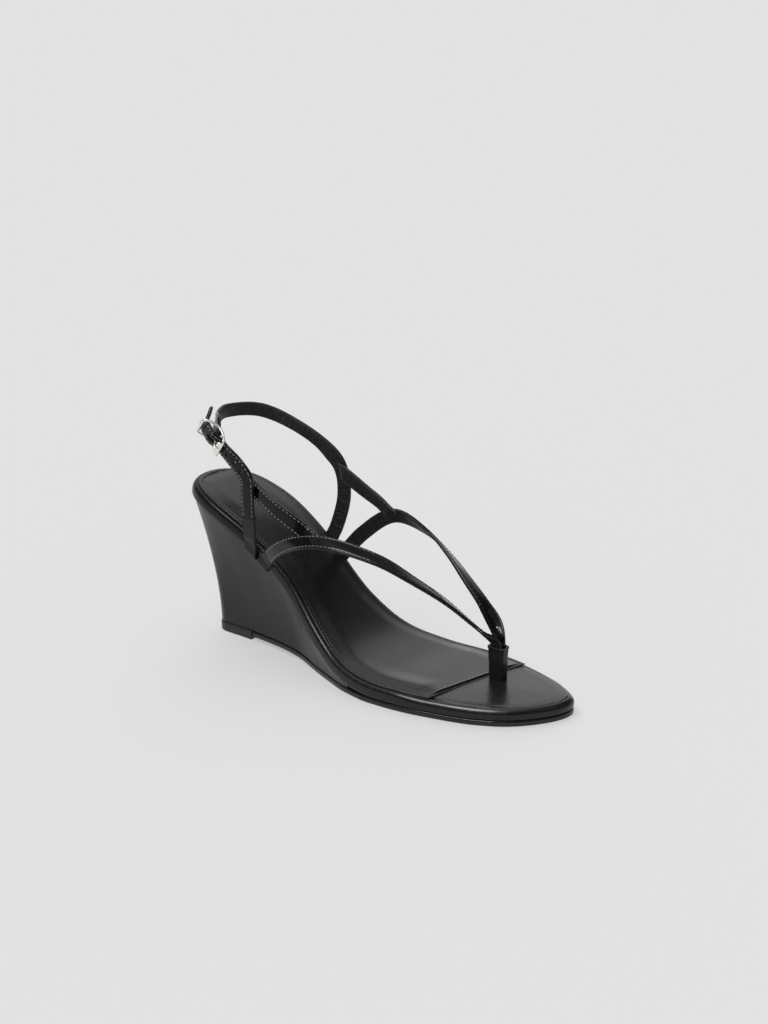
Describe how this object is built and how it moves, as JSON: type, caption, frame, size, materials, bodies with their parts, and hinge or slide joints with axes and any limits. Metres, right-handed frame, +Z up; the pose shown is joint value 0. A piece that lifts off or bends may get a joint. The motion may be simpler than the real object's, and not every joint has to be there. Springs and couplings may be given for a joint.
{
  "type": "wedge sandal",
  "caption": "Right-foot wedge sandal with a toe post, twisted front straps and a buckled sling round the heel.",
  "frame": {"origin": "centre of the heel tip's flat face on the ground", "axes": "+X to the toe, +Y to the inner side of the foot, +Z up"},
  "size_m": [0.227, 0.0753, 0.1251],
  "materials": {
    "sole_rubber": "glossy black edge paint",
    "steel": "plain",
    "wedge_cork": "raw",
    "cover_leather": "smooth, soft sheen",
    "rim_leather": "fine grain",
    "sock_leather": "smooth, soft sheen",
    "fibre_board": "raw",
    "cushion_foam": "open cell",
    "patent_leather": "patent, high gloss",
    "lining_leather": "matte, wrinkled",
    "tab_leather": "matte",
    "nickel": "warm pale nickel",
    "stem_rubber": "matte"
  },
  "bodies": {
    "sole": {"outsole": "sole_rubber", "heel_tip": "sole_rubber", "heel_tip_pin_1": "steel", "heel_tip_pin_2": "steel", "heel_screw_1": "steel", "heel_screw_2": "steel", "heel_screw_3": "steel", "shank": "steel", "shank_rivet_1": "steel", "shank_rivet_2": "steel", "toe_post_anchor": "steel", "wedge_core": "wedge_cork", "wedge_cover": "cover_leather", "insole_cover": "rim_leather", "sock": "sock_leather", "insole_board": "fibre_board", "footbed_foam": "cushion_foam", "leg_lateral_outer": "patent_leather", "leg_medial_outer": "patent_leather", "bridge_lateral_outer": "patent_leather", "bridge_medial_outer": "patent_leather", "front_strap_lateral_outer": "patent_leather", "front_strap_medial_outer": "patent_leather", "leg_lateral_lining": "lining_leather", "leg_medial_lining": "lining_leather", "bridge_lateral_lining": "lining_leather", "bridge_medial_lining": "lining_leather", "front_strap_lateral_lining": "lining_leather", "front_strap_medial_lining": "lining_leather", "tab_leg_lateral": "tab_leather", "tab_front_lateral": "tab_leather", "tab_leg_medial": "tab_leather", "tab_front_medial": "tab_leather", "toe_post_wrap": "tab_leather", "toe_post_stem": "stem_rubber"},
    "sling": {"tail_strap_outer": "patent_leather", "tail_strap_lining": "lining_leather", "heel_strap_outer": "patent_leather", "heel_strap_lining": "lining_leather", "buckle_loop": "lining_leather"},
    "buckle": {"buckle_frame": "nickel"},
    "prong": {"buckle_prong": "nickel"}
  },
  "joints": [
    {"name": "sling_swing", "type": "hinge", "parent": "sole", "child": "sling", "pos_m": [0.0273, -0.0306, 0.094], "axis": [0.1014, 0.994, -0.0409], "range_deg": [-35, 20], "stiffness_Nm_per_rad": 0.05},
    {"name": "buckle_tilt", "type": "hinge", "parent": "sling", "child": "buckle", "pos_m": [0.005, -0.0275, 0.111], "axis": [0.6076, -0.093, 0.7888], "range_deg": [-5, 5]},
    {"name": "prong_swing", "type": "hinge", "parent": "buckle", "child": "prong", "pos_m": [0.005, -0.0275, 0.111], "axis": [-0.6076, 0.093, -0.7888], "range_deg": [0, 70]}
  ]
}
